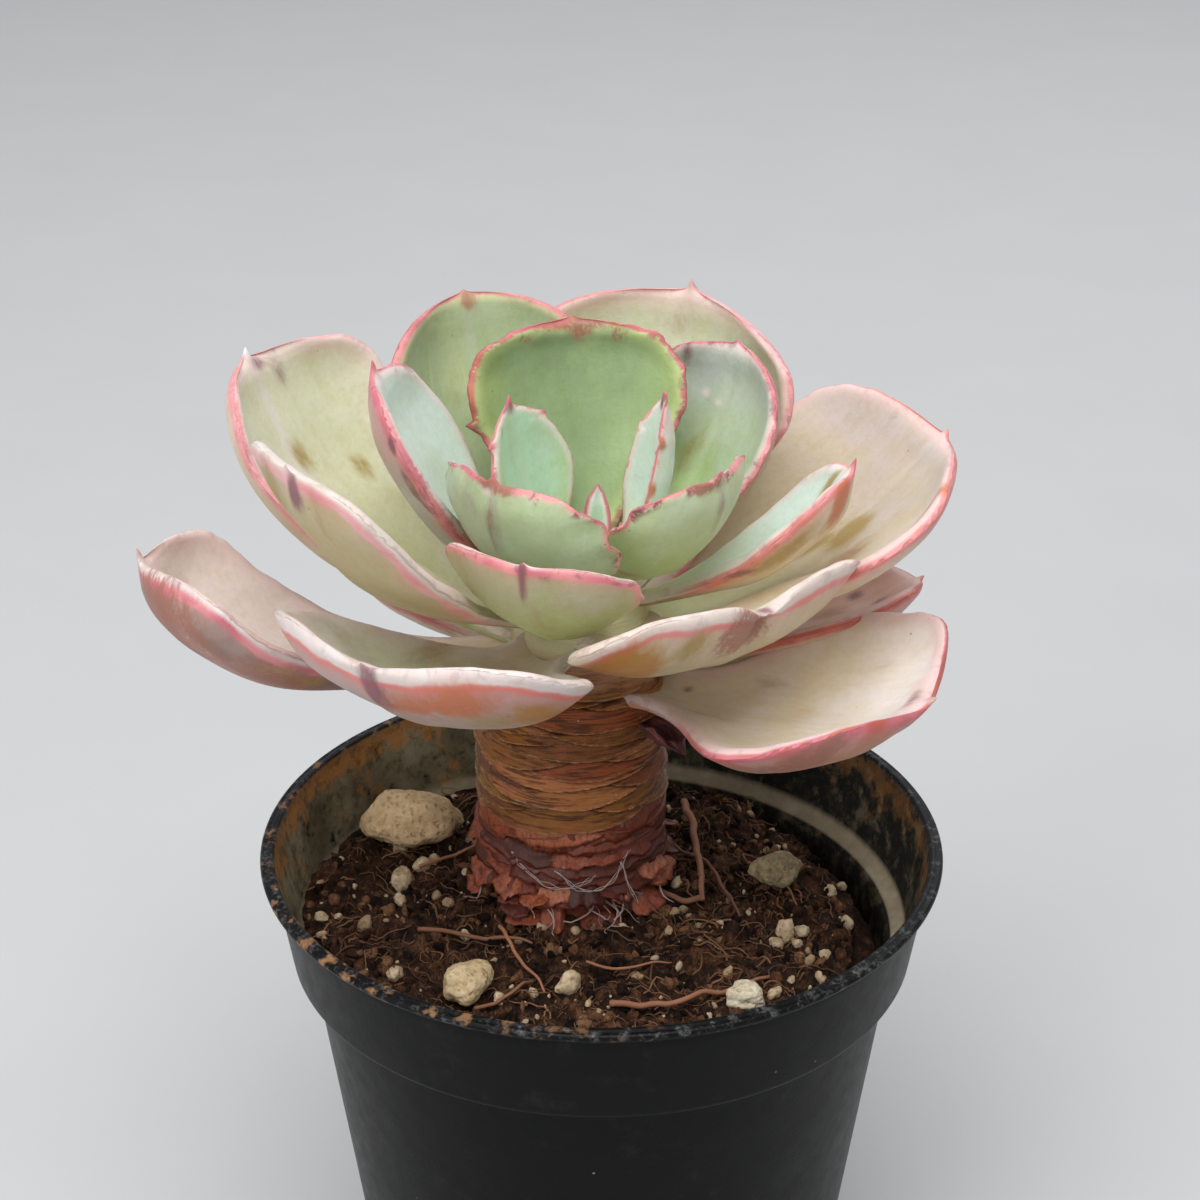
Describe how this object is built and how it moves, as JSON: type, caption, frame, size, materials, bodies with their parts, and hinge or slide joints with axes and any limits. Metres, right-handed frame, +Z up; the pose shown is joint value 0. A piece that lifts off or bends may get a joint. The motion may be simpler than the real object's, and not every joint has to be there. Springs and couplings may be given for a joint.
{
  "type": "potted echeveria",
  "caption": "Potted rosette succulent with fleshy pink-edged leaves on a thick bare stem, standing in a small round plastic nursery pot of soil.",
  "frame": {"origin": "centre of the pot's flat base, on the surface that the pot stands on", "axes": "+Z up along the pot's axis, +X to the right and -Y towards the camera in the picture"},
  "size_m": [0.1027, 0.0943, 0.1398],
  "materials": {
    "pot_plastic": "black, satin, scuffed at the lip",
    "soil": "dark fibrous peat with grit",
    "stem": "dry brown leaf scars, ringed",
    "outer_leaf": "fleshy, cream with pink edges, waxy bloom",
    "middle_leaf": "fleshy, pale green with pink edges, waxy bloom",
    "inner_leaf": "fleshy, grey green with red teeth, waxy bloom",
    "dry_leaf": "dry, papery, dark red brown",
    "stone": "rough porous grit"
  },
  "bodies": {
    "root": {"pot": "pot_plastic", "soil": "soil", "stem": "stem", "leaf_outer_01": "outer_leaf", "leaf_outer_02": "outer_leaf", "leaf_outer_03": "outer_leaf", "leaf_outer_04": "outer_leaf", "leaf_outer_05": "outer_leaf", "leaf_outer_06": "outer_leaf", "leaf_outer_07": "outer_leaf", "leaf_outer_08": "outer_leaf", "leaf_outer_09": "outer_leaf", "leaf_outer_10": "outer_leaf", "leaf_outer_11": "outer_leaf", "leaf_outer_12": "outer_leaf", "leaf_middle_01": "middle_leaf", "leaf_middle_02": "middle_leaf", "leaf_middle_03": "middle_leaf", "leaf_middle_04": "middle_leaf", "leaf_middle_05": "middle_leaf", "leaf_inner_01": "inner_leaf", "leaf_inner_02": "inner_leaf", "leaf_inner_03": "inner_leaf", "leaf_inner_04": "inner_leaf", "leaf_centre_01": "inner_leaf", "leaf_centre_02": "inner_leaf", "leaf_centre_03": "inner_leaf", "leaf_dry_01": "dry_leaf", "stone_pumice": "stone", "stone_cream": "stone", "stone_olive": "stone", "stone_white": "stone"}
  },
  "joints": []
}
